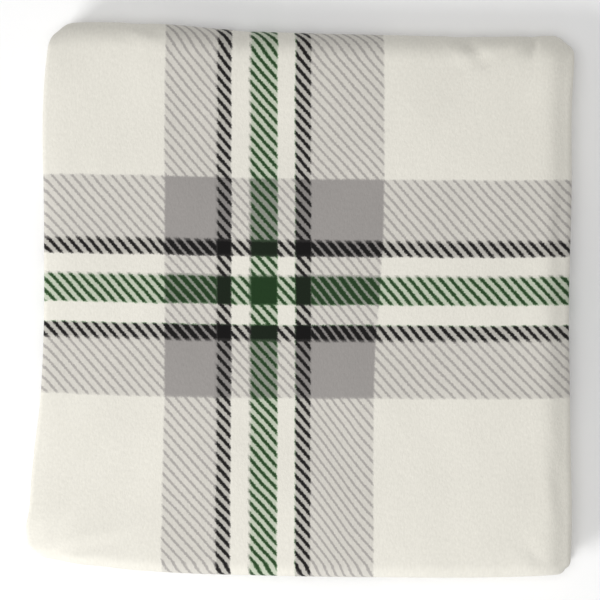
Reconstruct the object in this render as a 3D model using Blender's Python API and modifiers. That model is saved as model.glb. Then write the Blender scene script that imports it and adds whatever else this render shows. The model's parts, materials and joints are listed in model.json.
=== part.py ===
"""Fleece throw blanket, folded in thirds across its width and then twice along its length.

Metres, +Z up.  The origin is the middle of the face it rests on, +X runs across the
folded blanket and +Y points at the spine, the last fold that was made.

The throw is one cloth.  Its three plies side by side (left flap, face panel, right flap)
make a strip, and the strip lies in four leaves: bottom, second, third and top.  Every
leaf and every fold between two leaves is a closed solid of its own.
"""

import math

import bmesh
import bpy

# The open throw
THROW_WIDTH = 1.270
THROW_LENGTH = 1.760

# The cloth
PLY = 0.0032  # thickness of the fleece as it lies in the stack
PLY_GAP = 0.00045  # room between two plies
CUT_GAP = 0.00045  # room between a leaf and the fold that carries on from it

# How it is folded
LEFT_FLAP_SETBACK = 0.012  # from the left flap's hem to the right side fold
RIGHT_FLAP_SETBACK = 0.012  # from the right flap's hem to the left side fold
BOTTOM_END_SETBACK = 0.006  # from the front fold's nose to the bottom leaf's hem
SECOND_END_SETBACK = 0.011  # from the front fold's nose to the second leaf's hem
HEM_WIDTH = 0.015  # turned-over hem at the two ends of the throw

# Facets
SIDE_FOLD_STEPS = 6
LEAF_FOLD_STEPS = 16

# Finishes
CREAM = (0.80, 0.78, 0.70, 1.0)
HEM_CREAM = (0.74, 0.72, 0.64, 1.0)
FLEECE_ROUGHNESS = 0.95

# The stack, counted in plies
PLIES_PER_LEAF = 3
LEAVES = 4
PITCH = PLY + PLY_GAP
STACK = LEAVES * PLIES_PER_LEAF * PITCH
FLOOR_LIFT = -PLY_GAP / 2  # puts the lowest ply's underside at the origin

# Radii of the strip's middle ply in each fold
SIDE_FOLD_TIGHT = PITCH / 2
SIDE_FOLD_WIDE = PITCH
SPINE_OUTER = (PLIES_PER_LEAF * 1.5) * PITCH
SPINE_INNER = (PLIES_PER_LEAF * 0.5) * PITCH
FRONT_FOLD = (PLIES_PER_LEAF * 0.5) * PITCH

# Heights of the leaves' middle plies, and of the folds' centres
BOTTOM_Z = 0.5 * PLIES_PER_LEAF * PITCH + FLOOR_LIFT
SECOND_Z = 1.5 * PLIES_PER_LEAF * PITCH + FLOOR_LIFT
THIRD_Z = 2.5 * PLIES_PER_LEAF * PITCH + FLOOR_LIFT
TOP_Z = 3.5 * PLIES_PER_LEAF * PITCH + FLOOR_LIFT
SPINE_Z = (BOTTOM_Z + TOP_Z) / 2
FRONT_FOLD_Z = (THIRD_Z + TOP_Z) / 2

# Widths: the flat width less the two side folds, shared by the panel and the flaps
SIDE_FOLD_LENGTH = math.pi * (SIDE_FOLD_TIGHT + SIDE_FOLD_WIDE)
PANEL_WIDTH = (THROW_WIDTH - SIDE_FOLD_LENGTH + LEFT_FLAP_SETBACK + RIGHT_FLAP_SETBACK) / 3
FOLDED_WIDTH = PANEL_WIDTH + SIDE_FOLD_TIGHT + SIDE_FOLD_WIDE + PLY
LEFT_X = -FOLDED_WIDTH / 2 + SIDE_FOLD_TIGHT + PLY / 2
RIGHT_X = FOLDED_WIDTH / 2 - SIDE_FOLD_WIDE - PLY / 2

# Lengths: the flat length less the three leaf folds, shared by the four leaves
SPINE_REACH = SPINE_OUTER + PITCH + PLY / 2
NOSE_REACH = FRONT_FOLD + PITCH + PLY / 2
LEAF_FOLD_LENGTH = math.pi * (SPINE_OUTER + SPINE_INNER + FRONT_FOLD)
END_LENGTH = 2 * NOSE_REACH - BOTTOM_END_SETBACK - SECOND_END_SETBACK
LEAF_LENGTH = (THROW_LENGTH - LEAF_FOLD_LENGTH - END_LENGTH) / LEAVES
FOLDED_LENGTH = LEAF_LENGTH + SPINE_REACH + NOSE_REACH
SPINE_Y = FOLDED_LENGTH / 2 - SPINE_REACH
FRONT_Y = SPINE_Y - LEAF_LENGTH
NOSE_Y = FRONT_Y - NOSE_REACH


def clear_scene():
    """Removes every object that the file opened with."""
    for old in list(bpy.data.objects):
        bpy.data.objects.remove(old, do_unlink=True)


def named_collection(name):
    """A new collection in the scene."""
    group = bpy.data.collections.new(name)
    bpy.context.scene.collection.children.link(group)
    return group


def fleece(name, colour):
    """Brushed polyester fleece: matt, not metallic."""
    material = bpy.data.materials.new(name)
    material.use_nodes = True
    shader = material.node_tree.nodes["Principled BSDF"]
    shader.inputs["Base Color"].default_value = colour
    shader.inputs["Roughness"].default_value = FLEECE_ROUGHNESS
    shader.inputs["Metallic"].default_value = 0.0
    return material


def arc(centre, radius, start, end, steps):
    """Points on an arc in the strip's own plane, both ends included; angles in radians."""
    turn = (end - start) / steps
    angles = [start + turn * i for i in range(steps + 1)]
    return [(centre[0] + radius * math.cos(a), centre[1] + radius * math.sin(a)) for a in angles]


def strip_profile():
    """The strip's cross-section as (x, height) points, face panel at +1 pitch, flaps under it.

    It starts at the left flap's hem, turns round the left side fold into the panel, and
    turns round the wider right side fold into the right flap, which lies undermost.
    """
    down, up = -math.pi / 2, math.pi / 2
    points = [(RIGHT_X - LEFT_FLAP_SETBACK, 0.0)]
    left_centre = (LEFT_X, SIDE_FOLD_TIGHT)
    points += arc(left_centre, SIDE_FOLD_TIGHT, down, down - math.pi, SIDE_FOLD_STEPS)
    points += arc((RIGHT_X, 0.0), SIDE_FOLD_WIDE, up, up - math.pi, SIDE_FOLD_STEPS)
    points.append((LEFT_X + RIGHT_FLAP_SETBACK, -SIDE_FOLD_WIDE))
    return points


def lay_profile(mesh, y, z, face):
    """The cross-section's edges at one place along the strip; face is +1 with the panel up."""
    verts = [mesh.verts.new((x, y, z + face * height)) for x, height in strip_profile()]
    return [mesh.edges.new(pair) for pair in zip(verts, verts[1:])]


def cloth_solid(name, mesh, material, group):
    """Gives the swept strip the cloth's thickness and puts it in the collection."""
    data = bpy.data.meshes.new(name)
    mesh.to_mesh(data)
    mesh.free()
    data.shade_smooth()
    data.materials.append(material)
    solid = bpy.data.objects.new(name, data)
    group.objects.link(solid)
    thickness = solid.modifiers.new("cloth thickness", "SOLIDIFY")
    thickness.thickness = PLY
    thickness.offset = 0.0
    thickness.use_even_offset = True
    return solid


def leaf(name, start_y, end_y, z, face, material, group):
    """A flat length of the strip, from one Y to another."""
    mesh = bmesh.new()
    edges = lay_profile(mesh, start_y, z, face)
    swept = bmesh.ops.extrude_edge_only(mesh, edges=edges)["geom"]
    moved = [v for v in swept if isinstance(v, bmesh.types.BMVert)]
    bmesh.ops.translate(mesh, verts=moved, vec=(0.0, end_y - start_y, 0.0))
    return cloth_solid(name, mesh, material, group)


def leaf_fold(name, y, z, radius, face, toward, material, group):
    """A half turn of the strip about a line along X, upwards; toward is +1 or -1 along Y."""
    mesh = bmesh.new()
    edges = lay_profile(mesh, y, z - radius, face)
    bmesh.ops.spin(
        mesh,
        geom=edges,
        cent=(0.0, y, z),
        axis=(1.0, 0.0, 0.0),
        angle=toward * math.pi,
        steps=LEAF_FOLD_STEPS,
        use_merge=False,
    )
    return cloth_solid(name, mesh, material, group)


def build():
    """The lower half, the upper half that opens like a book cover, and the spine between."""
    clear_scene()
    blanket = named_collection("folded_throw")
    cloth = fleece("plush fleece", CREAM)
    turned = fleece("turned hem", HEM_CREAM)
    to_spine = SPINE_Y - CUT_GAP
    to_front = FRONT_Y + CUT_GAP

    for name, setback, z, face in (
        ("bottom_leaf", BOTTOM_END_SETBACK, BOTTOM_Z, -1),
        ("second_leaf", SECOND_END_SETBACK, SECOND_Z, 1),
    ):
        end = NOSE_Y + setback
        stitched = end + HEM_WIDTH
        leaf(name + "_hem", end, stitched, z, face, turned, blanket)
        leaf(name, stitched + CUT_GAP, to_spine, z, face, cloth, blanket)

    leaf("third_leaf", to_front, to_spine, THIRD_Z, -1, cloth, blanket)
    leaf("top_leaf", to_front, to_spine, TOP_Z, 1, cloth, blanket)

    leaf_fold("front_fold", FRONT_Y, FRONT_FOLD_Z, FRONT_FOLD, -1, -1, cloth, blanket)
    leaf_fold("spine_outer_fold", SPINE_Y, SPINE_Z, SPINE_OUTER, -1, 1, cloth, blanket)
    leaf_fold("spine_inner_fold", SPINE_Y, SPINE_Z, SPINE_INNER, 1, 1, cloth, blanket)


build()
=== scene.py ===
"""A plush fleece throw with a printed plaid, folded in thirds across its width and then
twice along its length.  The folded throw lies face up with its last fold, the spine, at +Y."""

import json

import bpy
import numpy as np
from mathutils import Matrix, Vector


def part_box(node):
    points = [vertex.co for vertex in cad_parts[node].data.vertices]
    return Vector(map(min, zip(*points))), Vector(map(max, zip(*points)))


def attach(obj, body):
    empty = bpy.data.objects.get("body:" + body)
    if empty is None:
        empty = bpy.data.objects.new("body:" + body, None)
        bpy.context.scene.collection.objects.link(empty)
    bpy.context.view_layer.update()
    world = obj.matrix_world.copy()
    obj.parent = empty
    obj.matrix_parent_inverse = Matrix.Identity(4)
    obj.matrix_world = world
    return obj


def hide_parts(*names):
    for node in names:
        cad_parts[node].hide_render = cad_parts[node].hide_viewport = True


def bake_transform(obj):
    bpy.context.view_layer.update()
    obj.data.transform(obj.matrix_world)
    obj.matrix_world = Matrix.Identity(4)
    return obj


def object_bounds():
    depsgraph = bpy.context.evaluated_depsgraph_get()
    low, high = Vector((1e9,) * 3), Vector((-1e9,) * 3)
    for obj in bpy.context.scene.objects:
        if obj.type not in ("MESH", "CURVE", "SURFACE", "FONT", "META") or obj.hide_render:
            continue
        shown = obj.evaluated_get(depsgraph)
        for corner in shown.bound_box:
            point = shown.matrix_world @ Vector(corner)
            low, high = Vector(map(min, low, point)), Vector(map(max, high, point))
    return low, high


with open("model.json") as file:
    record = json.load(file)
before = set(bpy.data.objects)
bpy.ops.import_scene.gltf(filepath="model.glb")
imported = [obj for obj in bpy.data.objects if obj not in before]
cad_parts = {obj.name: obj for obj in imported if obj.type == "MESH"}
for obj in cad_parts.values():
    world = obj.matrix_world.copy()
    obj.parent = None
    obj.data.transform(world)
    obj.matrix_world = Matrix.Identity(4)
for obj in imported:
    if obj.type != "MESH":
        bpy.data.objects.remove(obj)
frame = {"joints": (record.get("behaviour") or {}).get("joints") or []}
cad_low, cad_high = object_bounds()


# ---------------------------------------------------------------------------------------
# Camera: straight above the folded throw and far enough off that its sides hardly show.
# The view is a little wider than the throw, whose fuller left side puts it off centre.
# ---------------------------------------------------------------------------------------
MM = 0.001
VIEW_WIDTH = 494.0 * MM
VIEW_CENTRE = (-5.6 * MM, 3.9 * MM)
CAMERA_HEIGHT = 2.4
SENSOR = 36.0

camera = bpy.data.objects.new("camera", bpy.data.cameras.new("camera"))
bpy.context.scene.collection.objects.link(camera)
camera.location = (*VIEW_CENTRE, cad_high[2] + CAMERA_HEIGHT)
camera.data.sensor_width = SENSOR
camera.data.lens = SENSOR * CAMERA_HEIGHT / VIEW_WIDTH
bpy.context.scene.camera = camera


# ---------------------------------------------------------------------------------------
# The cloth: one sheet of brushed polyester fleece, 1.27 x 1.76 m, knitted, brushed up on
# both faces and sheared to a short pile.  Three plies side by side (left flap, face
# panel, right flap) make a strip, and the strip is folded into four leaves.
# ---------------------------------------------------------------------------------------
spine_y, spine_z = frame["joints"][0]["pos_m"][1:]
leaf_boxes = {n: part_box(n) for n in ("bottom_leaf", "second_leaf", "third_leaf", "top_leaf")}
leaf_z = {n: (low[2] + high[2]) / 2 for n, (low, high) in leaf_boxes.items()}
PLIES = 3
pitch = (leaf_z["second_leaf"] - leaf_z["bottom_leaf"]) / PLIES
ply = leaf_boxes["top_leaf"][1][2] - leaf_boxes["top_leaf"][0][2] - 2 * pitch
stack = cad_high[2]

# Across the strip: the two side folds' centres, and the lengths along the cloth.
HEM_SETBACK = 12.0 * MM  # from a flap's hem to the side fold it lies in
left_x = cad_low[0] + pitch / 2 + ply / 2
right_x = cad_high[0] - pitch - ply / 2
panel = right_x - left_x
flap = panel - HEM_SETBACK
across = np.cumsum([0.0, flap, np.pi * pitch / 2, panel, np.pi * pitch, flap])
FLAT_WIDTH = across[-1]

# Along the strip: the hems at its two ends, the three folds and the four leaves.
front_y = cad_low[1] + 2.5 * pitch + ply / 2
front_z = (leaf_z["third_leaf"] + leaf_z["top_leaf"]) / 2
bottom_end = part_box("bottom_leaf_hem")[0][1]
second_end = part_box("second_leaf_hem")[0][1]
outer, inner = 4.5 * pitch, 1.5 * pitch
along = np.cumsum([
    0.0,
    spine_y - bottom_end,
    np.pi * outer,
    spine_y - front_y,
    np.pi * inner,
    spine_y - front_y,
    np.pi * inner,
    spine_y - second_end,
])
FLAT_LENGTH = along[-1]


def strip_section(u):
    """Where the cloth's width runs, as (x, height above the strip's middle ply).

    The left flap runs back to the left side fold, a half circle of half a pitch; the
    panel runs right, one pitch up; the right side fold is a half circle of one pitch, and
    the right flap runs back underneath, one pitch down.
    """
    left_turn = -np.pi / 2 - (u - across[1]) / (pitch / 2)
    right_turn = np.pi / 2 - (u - across[3]) / pitch
    part = np.searchsorted(across[1:-1], u)
    x = np.choose(part, [
        right_x - HEM_SETBACK - u,
        left_x + pitch / 2 * np.cos(left_turn),
        left_x + u - across[2],
        right_x + pitch * np.cos(right_turn),
        right_x - (u - across[4]),
    ])
    height = np.choose(part, [
        0.0 * u,
        pitch / 2 + pitch / 2 * np.sin(left_turn),
        0.0 * u + pitch,
        pitch * np.sin(right_turn),
        0.0 * u - pitch,
    ])
    return x, height


def strip_path(v):
    """Where the cloth's length runs, as (y, z) of the middle ply and the way its face looks.

    Each leaf is a straight run and each fold a half circle: out from the bottom leaf's
    hem to the spine, round it to the top leaf, back to the front fold, into the third
    leaf, round the inside of the spine and back along the second leaf to its hem.
    """
    part = np.searchsorted(along[1:-1], v)
    turn = np.choose(part, [
        0.0 * v - np.pi / 2,
        -np.pi / 2 + (v - along[1]) / outer,
        0.0 * v + np.pi / 2,
        np.pi / 2 + (v - along[3]) / inner,
        0.0 * v - np.pi / 2,
        np.pi / 2 - (v - along[5]) / inner,
        0.0 * v - np.pi / 2,
    ])
    y = np.choose(part, [
        bottom_end + v,
        spine_y + outer * np.cos(turn),
        spine_y - (v - along[2]),
        front_y + inner * np.cos(turn),
        front_y + (v - along[4]),
        spine_y + inner * np.cos(turn),
        spine_y - (v - along[6]),
    ])
    z = np.choose(part, [
        0.0 * v + leaf_z["bottom_leaf"],
        spine_z + outer * np.sin(turn),
        0.0 * v + leaf_z["top_leaf"],
        front_z + inner * np.sin(turn),
        0.0 * v + leaf_z["third_leaf"],
        spine_z + inner * np.sin(turn),
        0.0 * v + leaf_z["second_leaf"],
    ])
    face = np.where(part >= 5, -1.0, 1.0)
    return y, z, face * np.cos(turn) * (part % 2), face * np.sin(turn)


def curve_through(places, values, at):
    """A smooth curve through a few points, both in mm: a cubic on each span whose slope at
    a point is that of its neighbours.  Returns metres for places in metres."""
    places, values = np.array(places) * MM, np.array(values) * MM
    slopes = np.gradient(values, places)
    i = np.clip(np.searchsorted(places, at) - 1, 0, len(places) - 2)
    span = places[i + 1] - places[i]
    t = np.clip((at - places[i]) / span, 0.0, 1.0)
    ends = (1 + 2 * t) * (1 - t) ** 2 * values[i] + t * t * (3 - 2 * t) * values[i + 1]
    return ends + span * (t * (1 - t) ** 2 * slopes[i] + t * t * (t - 1) * slopes[i + 1])


def smooth(t):
    """The S curve from 0 to 1, flat at both ends."""
    t = np.clip(t, 0.0, 1.0)
    return t * t * (3 - 2 * t)


# How far each side of the top leaf stands off a true rectangle, in mm, and how far into
# the cloth that pull reaches.  The hand that folded it left the front left corner long.
LEFT_SIDE = ([-225, -193, -182, -153, -128, -94, -24, 60, 185, 225],
             [-12, -14, -12, -10, -7.6, -3.5, 0.3, 0.6, 1.4, 6.0])
RIGHT_SIDE = ([-225, -160, -128, -62, -20, 100, 170, 203, 225],
              [0.6, 1.8, 1.0, 0.1, -0.6, 1.8, 2.1, 4.2, 4.6])
FRONT_SIDE = ([-230, -203, -182, -166, -150, -117, -84, -51, 64, 163, 196, 217],
              [18, 15, 10.4, 8.8, 6.6, 3.9, 2.3, 1.4, -0.5, -0.2, 0.9, 2.0])
SPINE_SIDE = ([-217, -183, -150, -117, -84, -60, -10, 72, 130, 190, 217],
              [8.8, 10.2, 9.6, 8.4, 5.4, 3.0, 0.9, -1.2, -2.6, -2.0, -0.6])
SIDE_PULL_REACH = 62.0 * MM
END_PULL_REACH = 115.0 * MM

# Radii of the four corners seen from above: left front, right front, left and right spine.
CORNERS = ((-1, -1, 11.0 * MM), (1, -1, 9.0 * MM), (-1, 1, 18.0 * MM), (1, 1, 16.0 * MM))

# How far the top sinks at the right, left, front and spine, and how far in that reaches,
# in mm, and the same at the corners.
SIDE_SINKS = ((6.0, 11), (1.0, 7), (0.8, 16), (1.4, 30))
CORNER_SINK = 3.6 * MM
CORNER_SINK_REACH = 26 * MM

# Sideways slip of the four leaves from the bottom up, in mm, at the front and the spine.
SLIP_FRONT = (2.6, -1.6, 1.2, 0.0)
SLIP_SPINE = (-1.8, 1.7, -1.0, 0.0)
LEAF_NARROWING = 0.010  # how much narrower the lowest leaf lies, as a share
LEAF_RIPPLE = (0.9, -0.7, 0.6, 0.0)  # how far each leaf wavers sideways, in mm
FRONT_DRAW = 8.6 * MM  # how far the front of the top leaf, right of its middle, was drawn left

# Puckers where the cloth gathers at the spine: x, y, heading, length, width and depth.
PUCKERS = (
    (132, 216, 128, 19, 4.0, 3.0),
    (184, 218, 84, 15, 3.6, 2.8),
    (150, 205, 20, 22, 5.5, 1.7),
    (-139, 222, 152, 14, 3.6, 2.2),
    (-52, 219, 96, 16, 6.5, 1.6),
    (-172, -208, 24, 26, 5.0, 1.8),
    (-196, -196, 52, 16, 6.0, 0.9),
    (188, -206, 128, 15, 5.5, 0.8),
    (205, -150, 96, 20, 4.0, 0.7),
    (206, 62, 88, 26, 4.0, 0.8),
)


def settle(p):
    """Moves the neatly folded cloth to where it settled; p is an array of points.

    Corners: past the corner's centre a point moves from the square to the quarter disc,
    a' = a sqrt(1 - b^2 / 2).  Sides: each pull dies away as exp(-distance / reach).
    Edges sink by a bell of the distance to them, and the whole stack rises and falls
    by a sum of long waves, in proportion to the height above the floor.
    """
    x, y, z = p[..., 0].copy(), p[..., 1].copy(), p[..., 2].copy()
    low = np.array([cad_low[0], cad_low[1]]) + ply / 2
    high = np.array([cad_high[0], cad_high[1]]) - ply / 2
    up = np.clip(z / stack, 0.0, 1.0)

    to_left, to_right = x - low[0], high[0] - x
    to_front, to_spine = y - low[1], high[1] - y

    for side_x, side_y, radius in CORNERS:
        a = radius - (to_right if side_x > 0 else to_left)
        b = radius - (to_spine if side_y > 0 else to_front)
        a, b = a / radius, b / radius
        inside = (a > 0) & (b > 0)
        a2 = a * np.sqrt(1 - np.clip(b, 0, 1) ** 2 / 2)
        b2 = b * np.sqrt(1 - np.clip(a, 0, 1) ** 2 / 2)
        x = x + np.where(inside, side_x * radius * (a2 - a), 0.0)
        y = y + np.where(inside, side_y * radius * (b2 - b), 0.0)

    sunk = np.zeros_like(x)
    for inward, (depth, reach) in zip((to_right, to_left, to_front, to_spine), SIDE_SINKS):
        sunk += depth * MM * np.exp(-(inward / (reach * MM)) ** 2)
    for a, b in ((to_left, to_front), (to_right, to_front), (to_left, to_spine), (to_right, to_spine)):
        sunk += CORNER_SINK * np.exp(-(a * a + b * b) / CORNER_SINK_REACH ** 2)
    waves = 0.55 * np.sin(x / (31 * MM) + 1.3) * np.sin(y / (37 * MM) + 0.4)
    waves += 0.45 * np.sin(x / (19 * MM) - y / (43 * MM) + 2.1)
    waves += 0.35 * np.sin(x / (52 * MM) + y / (17 * MM) + 4.0)
    settled_z = z + up * (0.55 * MM * waves - sunk)

    round_spine = smooth((y - spine_y) / (8 * MM))
    out_y = np.where(y > spine_y, y - spine_y, 0.0)
    out_z = np.where(y > spine_y, z - spine_z, 1.0)
    norm = np.hypot(out_y, out_z) + 1e-9
    for px, py, heading, length, width, depth in PUCKERS:
        c, s = np.cos(np.radians(heading)), np.sin(np.radians(heading))
        dx, dy = x - px * MM, y - py * MM
        run, side = dx * c + dy * s, -dx * s + dy * c
        dent = np.exp(-(run / (length * MM)) ** 2)
        dent = dent * (np.exp(-(side / (width * MM)) ** 2)
                       - 0.45 * np.exp(-((side - 1.7 * width * MM) / (1.2 * width * MM)) ** 2))
        dent = dent * depth * MM * smooth((z - 0.35 * stack) / (0.4 * stack))
        y = y - dent * round_spine * out_y / norm
        settled_z = settled_z - dent * out_z / norm

    drawn = FRONT_DRAW * smooth((x + 5 * MM) / (65 * MM)) * smooth(to_right / (140 * MM))
    x = x - drawn * smooth((90 * MM - y) / (180 * MM)) * smooth((up - 0.7) / 0.15)
    grip = 0.85 + 0.15 * up
    leaf_places = np.array(list(leaf_z.values()))
    turn = (y - front_y) / (spine_y - front_y)
    slip = np.interp(z, leaf_places, SLIP_FRONT) * (1 - turn) + np.interp(z, leaf_places, SLIP_SPINE) * turn
    ripple = np.interp(z, leaf_places, LEAF_RIPPLE)
    slip = slip + ripple * np.sin(y / (21 * MM) + z / (6 * MM))
    narrowed = x * (1 - LEAF_NARROWING * (1 - smooth(up * 1.15)))
    pull_x = curve_through(*LEFT_SIDE, y) * np.exp(-np.clip(to_left, 0, None) / SIDE_PULL_REACH)
    pull_x = pull_x + curve_through(*RIGHT_SIDE, y) * np.exp(-np.clip(to_right, 0, None) / SIDE_PULL_REACH)
    pull_y = curve_through(*FRONT_SIDE, x) * np.exp(-np.clip(to_front, 0, None) / END_PULL_REACH)
    pull_y = pull_y + curve_through(*SPINE_SIDE, x) * np.exp(-np.clip(to_spine, 0, None) / END_PULL_REACH)
    return np.stack([narrowed + slip * MM + pull_x * grip, y + pull_y * grip, settled_z], axis=-1)


def marks(length, step, edge_step=None, margin=0.0):
    """Places along a stretch, its start left out: steps of edge_step within margin of both
    ends and of step between them."""
    if edge_step is None:
        return np.linspace(0.0, length, round(length / step) + 1)[1:]
    near = np.linspace(0.0, margin, round(margin / edge_step) + 1)
    middle = np.linspace(margin, length - margin, round((length - 2 * margin) / step) + 1)
    return np.concatenate([near[1:], middle[1:], length - near[::-1][1:]])


# Rows across the hem: its rounded rim, its flat, the stitched line and the pile beyond.
HEM_STITCH = 11.5 * MM
RIM = 1.7 * MM
STITCH_PINCH = 0.42  # how much of the thickness the stitches pull in
PINCH_WIDTH = 0.9 * MM
PLY_FILL = 0.95  # how much of a ply's room its thickness takes
hem_rows = np.array([0.0, 0.12, 0.45, 0.95, 1.7, 4.0, 7.5, 10.0, 10.9, 11.5, 12.1, 13.0, 15.0]) * MM
HEM_RUN = hem_rows[-1]

flap_marks = marks(flap - HEM_RUN, 16 * MM, 4 * MM, 28 * MM)
u = np.concatenate([
    hem_rows,
    HEM_RUN + flap_marks,
    across[1] + marks(np.pi, np.pi / 12) * pitch / 2,
    across[2] + marks(panel, 7.5 * MM, 3.0 * MM, 30 * MM),
    across[3] + marks(np.pi, np.pi / 12) * pitch,
    across[4] + flap_marks,
    FLAT_WIDTH - hem_rows[::-1][1:],
])
leaf_run = spine_y - front_y
v = np.concatenate([
    hem_rows,
    HEM_RUN + marks(along[1] - HEM_RUN, 9 * MM),
    along[1] + marks(np.pi, np.pi / 22) * outer,
    along[2] + marks(leaf_run, 7.5 * MM, 3.0 * MM, 33 * MM),
    along[3] + marks(np.pi, np.pi / 16) * inner,
    along[4] + marks(leaf_run, 14 * MM, 5 * MM, 30 * MM),
    along[5] + marks(np.pi, np.pi / 12) * inner,
    along[6] + marks(along[7] - along[6] - HEM_RUN, 14 * MM, 5 * MM, 30 * MM),
    FLAT_LENGTH - hem_rows[::-1][1:],
])


def cloth_middle(u, v):
    """The neatly folded sheet halfway through its thickness: the strip's section, carried
    along the strip's path with its height laid along the way the face looks."""
    x, height = strip_section(u)
    y, z, out_y, out_z = strip_path(v)
    x = x + 0.0 * y
    return np.stack([x, y + height * out_y, z + height * out_z], axis=-1)


def cloth_out(middle, u, v):
    """The way the cloth's printed face looks: the cross product of its two directions."""
    along_u = np.gradient(middle, u, axis=1)
    along_v = np.gradient(middle, v, axis=0)
    out = np.cross(along_v, along_u)
    return out / (np.linalg.norm(out, axis=-1, keepdims=True) + 1e-12)


def half_thickness(u, v):
    """Half the cloth's thickness: a quarter circle at the rim, a pinch
    where the stitches pull it in, and the pile's full height beyond."""
    edge = np.minimum(np.minimum(u, FLAT_WIDTH - u), np.minimum(v, FLAT_LENGTH - v))
    rim = np.sqrt(np.clip(1 - (1 - np.clip(edge / RIM, 0, 1)) ** 2, 0, 1))
    pinch = 1 - STITCH_PINCH * np.exp(-((edge - HEM_STITCH) / PINCH_WIDTH) ** 2)
    return PLY_FILL * pitch / 2 * rim * pinch


def cloth_face(u, v, side):
    """One face of the cloth: half the thickness out from its middle, side 1 or -1, and only
    then settled.  Where the plies settle closer together the pile is pressed thinner.  Deep
    in the stack some plies still dip a little into the next, since their rows are coarser."""
    grid_u, grid_v = np.meshgrid(u, v)
    middle = cloth_middle(grid_u, grid_v)
    half = half_thickness(grid_u, grid_v)[..., None]
    return settle(middle + side * half * cloth_out(middle, u, v))


printed_face, back_face = cloth_face(u, v, 1.0), cloth_face(u, v, -1.0)
LIFT = 0.16 * MM  # keeps the lowest pile off the floor


def closed_sheet(name, top, bottom, u, v):
    """One closed mesh of two faces that share their outer rows and columns, with the
    cloth's own flat coordinates, in metres, as its UV map."""
    rows, columns = top.shape[:2]
    upper = np.arange(rows * columns).reshape(rows, columns)
    lower = upper.copy()
    lower[1:-1, 1:-1] = rows * columns + np.arange((rows - 2) * (columns - 2)).reshape(rows - 2, columns - 2)
    points = np.concatenate([top.reshape(-1, 3), bottom[1:-1, 1:-1].reshape(-1, 3)])
    flat = np.stack([np.broadcast_to(u, (rows, columns)), np.broadcast_to(v[:, None], (rows, columns))], -1)

    def quads(index, facing):
        corners = [index[:-1, :-1], index[1:, :-1], index[1:, 1:], index[:-1, 1:]]
        return np.stack(corners[::facing], -1).reshape(-1, 4)

    def quad_flat(facing):
        corners = [flat[:-1, :-1], flat[1:, :-1], flat[1:, 1:], flat[:-1, 1:]]
        return np.stack(corners[::facing], 2).reshape(-1, 2)

    faces = np.concatenate([quads(upper, 1), quads(lower, -1)])
    mesh = bpy.data.meshes.new(name)
    mesh.vertices.add(len(points))
    mesh.vertices.foreach_set("co", points.astype(np.float32).ravel())
    mesh.loops.add(faces.size)
    mesh.loops.foreach_set("vertex_index", faces.ravel().astype(np.int32))
    mesh.polygons.add(len(faces))
    mesh.polygons.foreach_set("loop_start", np.arange(0, faces.size, 4, dtype=np.int32))
    mesh.update(calc_edges=True)
    mesh.validate()
    layer = mesh.uv_layers.new(name="flat cloth")
    layer.uv.foreach_set("vector", np.concatenate([quad_flat(1), quad_flat(-1)]).astype(np.float32).ravel())
    mesh.shade_smooth()
    piece = bpy.data.objects.new(name, mesh)
    bpy.context.scene.collection.objects.link(piece)
    return piece


raised = np.array([0.0, 0.0, LIFT])
cloth = closed_sheet("fleece_cloth", printed_face + raised, back_face + raised, u, v)


# Print and pile.  Polyester plush: dense fine fibres, sheared level, that scatter light
# softly and glow a little at a slant.  The plaid is printed on the finished pile, so its
# edges are slightly soft, and the nap lies over in faint areas that are partly painted highlight.
def linear(code):
    """An sRGB hex colour as linear red, green, blue and alpha 1."""
    parts = np.array([int(code[i:i + 2], 16) for i in (1, 3, 5)]) / 255
    value = np.where(parts <= 0.04045, parts / 12.92, ((parts + 0.055) / 1.055) ** 2.4)
    return (*value, 1.0)


def add(tree, kind, settings=None, **links):
    """Adds a node with its settings; a link's name is the input's, or i0, i1 for its place."""
    node = tree.nodes.new(kind)
    for key, value in (settings or {}).items():
        setattr(node, key, value)
    for key, value in links.items():
        socket = node.inputs[int(key[1:])] if key[1:].isdigit() else node.inputs[key.replace("_", " ")]
        if isinstance(value, bpy.types.NodeSocket):
            tree.links.new(value, socket)
        else:
            socket.default_value = value
    return node


CREAM = linear("#e1ded4")
GREY = linear("#8d8987")
BLACK = linear("#131212")
GREEN = linear("#1f381d")

# Bands from the repeat's start, in mm: across the width and along the length.
BAND_COLOURS = (GREY, BLACK, None, GREEN, None, BLACK, GREY)
WIDTH_BANDS = (43.1, 12.3, 15.9, 22.6, 14.4, 13.7, 58.9)
LENGTH_BANDS = (51.4, 12.4, 17.2, 23.5, 16.5, 13.2, 46.5)
WIDTH_REPEAT = 423.3
LENGTH_REPEAT = 440.0
BAND_EDGE = 0.7  # how far the ink runs at a band's edge, in mm
# Twill lines of the print: one line of each direction's ink in every cycle.
TWILL_ACROSS = 8.28
TWILL_ALONG = 9.10
# How deep the ink soaks in on a line and between lines, as a share of the solid colour:
# the pale grey runs further between its lines than the dark inks do.
DARK_LINE, DARK_HAZE = 0.88, 0.10
PALE_LINE, PALE_HAZE = 0.66, 0.18
GREY_THINNING = 1.5  # how much thinner the grey lines are than the dark ones
EVEN_TONE = 0.50  # where two dark inks run together, each is this far up to full depth

plush = bpy.data.materials.new("printed polyester plush, brushed and sheared")
plush.use_nodes = True
tree = plush.node_tree
tree.nodes.clear()
flat_map = add(tree, "ShaderNodeUVMap", {"uv_map": "flat cloth"})
in_mm = add(tree, "ShaderNodeVectorMath", {"operation": "SCALE"}, i0=flat_map.outputs[0], Scale=1000.0)


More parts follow.
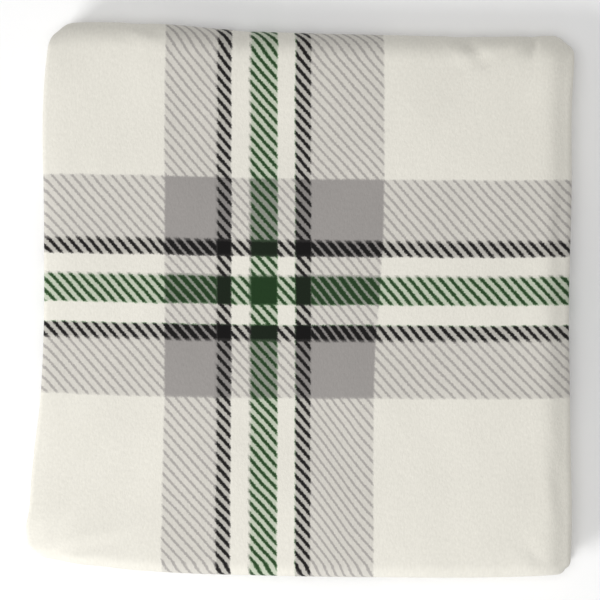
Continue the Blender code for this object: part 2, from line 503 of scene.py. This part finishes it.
def noise(size_mm, detail=2.0, stretch=(1.0, 1.0)):
    """Noise in the cloth's own plane whose grains are size_mm across."""
    scaled = add(tree, "ShaderNodeMapping", {}, Vector=in_mm.outputs[0],
                 Scale=(stretch[0] / size_mm, stretch[1] / size_mm, 1.0))
    return add(tree, "ShaderNodeTexNoise", {"noise_dimensions": "2D"}, Vector=scaled.outputs[0],
               Scale=1.0, Detail=detail, Roughness=0.55)


def maths(operation, a, b=0.0, c=0.0):
    """One arithmetic step; its result."""
    return add(tree, "ShaderNodeMath", {"operation": operation}, i0=a, i1=b, i2=c).outputs[0]


# The pile's tips lean every way, which frays the print by about half a millimetre.
fray = noise(1.5, 2.0)
wander = noise(34.0, 1.0)
FRAY, WANDER = 1.9, 1.3  # full swing of each, in mm


def shifted(by, swing, place):
    """A place moved by a noise's colour, whose middle is no shift; swing in mm."""
    shift = add(tree, "ShaderNodeVectorMath", {"operation": "SUBTRACT"},
                i0=by.outputs["Color"], i1=(0.5, 0.5, 0.5))
    return add(tree, "ShaderNodeVectorMath", {"operation": "MULTIPLY_ADD"},
               i0=shift.outputs[0], i1=(swing, swing, 0.0), i2=place.outputs[0])


print_at = shifted(wander, WANDER, shifted(fray, FRAY, in_mm))
place = add(tree, "ShaderNodeSeparateXYZ", {}, Vector=print_at.outputs[0])
print_u, print_v = place.outputs[0], place.outputs[1]


def bands(coordinate, start, widths, repeat):
    """The inks of one direction: colour, and 1 where there is ink."""
    share = maths("FRACT", maths("DIVIDE", maths("SUBTRACT", coordinate, start), repeat))
    ramp = add(tree, "ShaderNodeValToRGB", {}, Fac=share)
    stops = []
    edge = 0.0
    for width, colour in zip(widths, BAND_COLOURS):
        stops.append((edge, edge + width, colour))
        edge += width
    elements = ramp.color_ramp.elements
    elements[0].position, elements[0].color = 0.0, (*GREY[:3], 0.0)
    elements[1].position, elements[1].color = 1.0, (*GREY[:3], 0.0)
    last = None
    for low, high, colour in stops:
        before = stops[stops.index((low, high, colour)) - 1][2] if low else None
        ink = colour or before
        alpha = 1.0 if colour else 0.0
        for position in (low + BAND_EDGE / 2, high - BAND_EDGE / 2):
            stop = elements.new(position / repeat)
            stop.color = (*ink[:3], alpha)
        last = ink
    end = elements.new((edge + BAND_EDGE / 2) / repeat)
    end.color = (*last[:3], 0.0)
    return ramp.outputs["Color"], ramp.outputs["Alpha"]


# Where the repeat starts, so that the top leaf shows its bands where they lie.
FIRST_WIDTH_BAND = 96.0  # from the left side fold's end to the first grey band, in mm
FIRST_LENGTH_BAND = 99.2  # from the spine fold's end to the first grey band, in mm
width_start = across[2] / MM + FIRST_WIDTH_BAND
length_start = along[2] / MM + FIRST_LENGTH_BAND
warp_ink, warp_on = bands(print_u, width_start, WIDTH_BANDS, WIDTH_REPEAT)
weft_ink, weft_on = bands(print_v, length_start, LENGTH_BANDS, LENGTH_REPEAT)

phase = maths("SUBTRACT", maths("DIVIDE", print_u, TWILL_ACROSS), maths("DIVIDE", print_v, TWILL_ALONG))
from_line = maths("ABSOLUTE", maths("SUBTRACT", maths("FRACT", phase), 0.5))


def line_of(near, far):
    """1 at distance near from a twill line's middle and 0 at far, with a soft side."""
    node = add(tree, "ShaderNodeMapRange", {"interpolation_type": "SMOOTHSTEP"},
               i0=from_line, i1=near, i2=far, i3=1.0, i4=0.0)
    return node.outputs[0]


def blend_of(share, a, b):
    """a where share is 0, b where it is 1."""
    return add(tree, "ShaderNodeMix", {"data_type": "FLOAT"}, i0=share, i2=a, i3=b).outputs[0]


def paleness(ink):
    """0 for the black and the green ink, 1 for the grey."""
    light = add(tree, "ShaderNodeRGBToBW", {}, i0=ink).outputs[0]
    return add(tree, "ShaderNodeMapRange", {}, i0=light, i1=0.08, i2=0.18, i3=0.0, i4=1.0).outputs[0]


def through(ink, on, pale, line):
    """The share of each colour that gets through one direction's ink: (ink / ground) to
    the power of its depth, as light does in a dye.  Depth is full on a line, and a haze
    between lines."""
    haze = blend_of(pale, DARK_HAZE, PALE_HAZE)
    rise = maths("SUBTRACT", blend_of(pale, DARK_LINE, PALE_LINE), haze)
    depth = maths("MULTIPLY", on, maths("MULTIPLY_ADD", rise, line, haze))
    ratio = add(tree, "ShaderNodeVectorMath", {"operation": "DIVIDE"}, i0=ink, i1=CREAM[:3])
    parts = add(tree, "ShaderNodeSeparateXYZ", {}, Vector=ratio.outputs[0])
    powers = [maths("POWER", part, depth) for part in parts.outputs]
    return add(tree, "ShaderNodeCombineXYZ", {}, i0=powers[0], i1=powers[1], i2=powers[2]).outputs[0]


# Each direction has its own thin lines, set between the other's, and the grey's are the
# thinnest.  Where two bands cross, the second ink fills all that the first leaves, and
# the crossing prints solid.
warp_pale, weft_pale = paleness(warp_ink), paleness(weft_ink)
warp_alone = maths("SUBTRACT", 1.0, weft_on)
warp_thin = maths("MULTIPLY_ADD", maths("MULTIPLY", warp_pale, warp_alone), GREY_THINNING, 1.0)
weft_thin = maths("MULTIPLY_ADD", weft_pale, GREY_THINNING, 1.0)
warp_line = maths("POWER", line_of(0.07, 0.32), warp_thin)
weft_own = maths("POWER", line_of(0.43, 0.18), weft_thin)
weft_line = blend_of(warp_on, weft_own, maths("SUBTRACT", 1.0, warp_line))
# Two dark inks on one spot run together instead, into one even tone with no lines left.
both_dark = maths("SUBTRACT", 1.0, maths("MAXIMUM", warp_pale, weft_pale))
run_together = maths("MULTIPLY", maths("MULTIPLY", warp_on, weft_on), both_dark)
warp_light = through(warp_ink, warp_on, warp_pale, blend_of(run_together, warp_line, EVEN_TONE))
weft_light = through(weft_ink, weft_on, weft_pale, blend_of(run_together, weft_line, EVEN_TONE))
both_inks = add(tree, "ShaderNodeVectorMath", {"operation": "MULTIPLY"}, i0=warp_light, i1=weft_light)
plaid = add(tree, "ShaderNodeVectorMath", {"operation": "MULTIPLY"}, i0=both_inks.outputs[0], i1=CREAM[:3])

# Nap: broad soft areas where a hand has brushed the pile, the pile's own lie with painted highlight on it,
# and the fine grain of its tips.
nap_lie_and_highlight = noise(46.0, 3.0, (1.0, 0.6))
grain = noise(1.7, 3.0, (1.0, 0.55))
# Painted highlight: the broad nap areas raise and lower the plaid's brightness by up to five per cent.
shade = maths("MULTIPLY_ADD", nap_lie_and_highlight.outputs["Fac"], 0.10, 0.95)
shade = maths("MULTIPLY", shade, maths("MULTIPLY_ADD", grain.outputs["Fac"], 0.16, 0.92))
coloured = add(tree, "ShaderNodeVectorMath", {"operation": "SCALE"}, i0=plaid.outputs[0], Scale=shade)

clumps = noise(5.5, 3.0)
tips = noise(1.3, 3.0, (1.0, 0.6))
pile_height = maths("MULTIPLY_ADD", clumps.outputs["Fac"], 0.6, maths("MULTIPLY", tips.outputs["Fac"], 0.4))
bump = add(tree, "ShaderNodeBump", {}, Strength=0.35, Distance=0.0011, Height=pile_height)

shader = add(tree, "ShaderNodeBsdfPrincipled", {}, Base_Color=coloured.outputs[0], Normal=bump.outputs[0],
             Roughness=0.92, IOR=1.45)
shader.inputs["Specular IOR Level"].default_value = 0.10
shader.inputs["Sheen Weight"].default_value = 0.16
shader.inputs["Sheen Roughness"].default_value = 0.45
add(tree, "ShaderNodeOutputMaterial", {}, Surface=shader.outputs[0])
cloth.data.materials.append(plush)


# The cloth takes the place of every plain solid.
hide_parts("bottom_leaf", "bottom_leaf_hem", "second_leaf", "second_leaf_hem", "third_leaf",
            "top_leaf", "front_fold", "spine_outer_fold", "spine_inner_fold")
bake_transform(cloth)


# ---------------------------------------------------------------------------------------
# Hem stitching: the cut edge is turned over and sewn down with cream polyester thread,
# a lockstitch of 3.6 mm.  The rows at the two ends of the throw are made here.
# ---------------------------------------------------------------------------------------
STITCH_PITCH = 3.6 * MM
STITCH_LENGTH = 2.9 * MM
THREAD_RADIUS = 0.30 * MM
STITCH_RINGS, STITCH_SIDES = 5, 6


def stitch_row(row_v):
    """Stitches along one hem: capsules whose middles dip into the pile, r = sqrt(1 - t^2)
    thick and lying on the cloth's surface, on both of its faces."""
    count = int((FLAT_WIDTH - 2 * HEM_STITCH) / STITCH_PITCH)
    middle_u = HEM_STITCH + (np.arange(count) + 0.5) * STITCH_PITCH
    t = np.linspace(-1.0, 1.0, STITCH_RINGS)
    at_u = (middle_u[:, None] + t * STITCH_LENGTH / 2).ravel()
    near_v = row_v + np.array([-1.0, 0.0, 1.0]) * MM
    thick = THREAD_RADIUS * np.sqrt(np.clip(1 - np.tile(t, count) ** 2, 0.02, 1))
    angle = np.arange(STITCH_SIDES) * 2 * np.pi / STITCH_SIDES
    rings = []
    for face in (1.0, -1.0):
        surface = cloth_face(at_u, near_v, face)
        outward = face * cloth_out(surface, at_u, near_v)[1]
        spine = surface[1] + outward * THREAD_RADIUS * 0.3
        ahead = np.gradient(spine.reshape(count, STITCH_RINGS, 3), axis=1).reshape(-1, 3)
        ahead /= np.linalg.norm(ahead, axis=1, keepdims=True)
        beside = np.cross(outward, ahead)
        ring = spine[:, None] + thick[:, None, None] * (
            np.cos(angle)[None, :, None] * outward[:, None] + np.sin(angle)[None, :, None] * beside[:, None])
        rings.append(ring.reshape(count, STITCH_RINGS, STITCH_SIDES, 3))
    return np.concatenate(rings)


stitches = np.concatenate([stitch_row(HEM_STITCH), stitch_row(FLAT_LENGTH - HEM_STITCH)])
number = len(stitches)
per_stitch = STITCH_RINGS * STITCH_SIDES
corner = np.arange(per_stitch).reshape(STITCH_RINGS, STITCH_SIDES)
next_side = np.roll(corner, -1, axis=1)
walls = np.stack([corner[:-1], next_side[:-1], next_side[1:], corner[1:]], -1).reshape(-1, 4)
starts = np.arange(number)[:, None, None] * per_stitch
all_walls = (starts + walls).reshape(-1, 4).tolist()
first_caps = (starts[:, 0] + corner[0][::-1]).tolist()
last_caps = (starts[:, 0] + corner[-1]).tolist()
thread_mesh = bpy.data.meshes.new("hem_stitches")
thread_mesh.from_pydata((stitches.reshape(-1, 3) + raised).tolist(), [], all_walls + first_caps + last_caps)
thread_mesh.shade_smooth()
hem_stitches = bpy.data.objects.new("hem_stitches", thread_mesh)
bpy.context.scene.collection.objects.link(hem_stitches)

# Spun polyester sewing thread: cream, with the soft gleam of a twisted filament, painted into its colour as
# lighter and darker bands along the twist.
thread = bpy.data.materials.new("spun polyester sewing thread")
thread.use_nodes = True
tree = thread.node_tree
tree.nodes.clear()
own = add(tree, "ShaderNodeTexCoord")
twist = add(tree, "ShaderNodeTexWave", {"bands_direction": "DIAGONAL"}, Vector=own.outputs["Object"],
            Scale=900.0, Distortion=1.0)
# Painted highlight: the twist's crests are painted a paler cream and its grooves a darker one.
painted_twist_gleam = add(tree, "ShaderNodeMix", {"data_type": "RGBA"}, i0=twist.outputs["Fac"],
           i6=linear("#d9d5c8"), i7=linear("#efece0"))
ply_bump = add(tree, "ShaderNodeBump", {}, Strength=0.4, Distance=0.0001, Height=twist.outputs["Fac"])
shader = add(tree, "ShaderNodeBsdfPrincipled", {}, Base_Color=painted_twist_gleam.outputs[2],
             Normal=ply_bump.outputs[0], Roughness=0.55)
add(tree, "ShaderNodeOutputMaterial", {}, Surface=shader.outputs[0])
thread_mesh.materials.append(thread)
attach(hem_stitches, "lower_half")


# ---------------------------------------------------------------------------------------
# Studio: a plain white floor and soft light, the larger lamp low at the front left, so
# the spine and the right side turn into shade.
# ---------------------------------------------------------------------------------------
FLOOR_HALF = 6.0
floor_corners = [(x * FLOOR_HALF, y * FLOOR_HALF, 0.0) for x, y in ((-1, -1), (1, -1), (1, 1), (-1, 1))]
floor_mesh = bpy.data.meshes.new("floor")
floor_mesh.from_pydata(floor_corners, [], [(0, 1, 2, 3)])
floor = bpy.data.objects.new("floor", floor_mesh)
bpy.context.scene.collection.objects.link(floor)
paper = bpy.data.materials.new("matt white paper")
paper.use_nodes = True
paper.node_tree.nodes["Principled BSDF"].inputs["Base Color"].default_value = linear("#fbfbfb")
paper.node_tree.nodes["Principled BSDF"].inputs["Roughness"].default_value = 1.0
floor_mesh.materials.append(paper)


def lamp(name, place, target, size, watts):
    """A square soft box at a place, turned to a target."""
    light = bpy.data.lights.new(name, "AREA")
    light.energy, light.size = watts, size
    holder = bpy.data.objects.new(name, light)
    bpy.context.scene.collection.objects.link(holder)
    holder.location = place
    away = np.array(place) - np.array(target)
    holder.rotation_mode = "QUATERNION"
    holder.rotation_quaternion = type(camera.location)(away).to_track_quat("Z", "Y")


lamp("key", (-1.9, -1.6, 1.5), (0.0, 0.0, 0.0), 1.2, 55.0)
lamp("top", (-0.2, -0.1, 2.6), (0.0, 0.0, 0.0), 1.4, 19.5)
world = bpy.data.worlds.new("studio")
bpy.context.scene.world = world
world.use_nodes = True
world.node_tree.nodes["Background"].inputs["Color"].default_value = (1.0, 1.0, 1.0, 1.0)
world.node_tree.nodes["Background"].inputs["Strength"].default_value = 0.44
bpy.context.scene.view_settings.view_transform = "Standard"
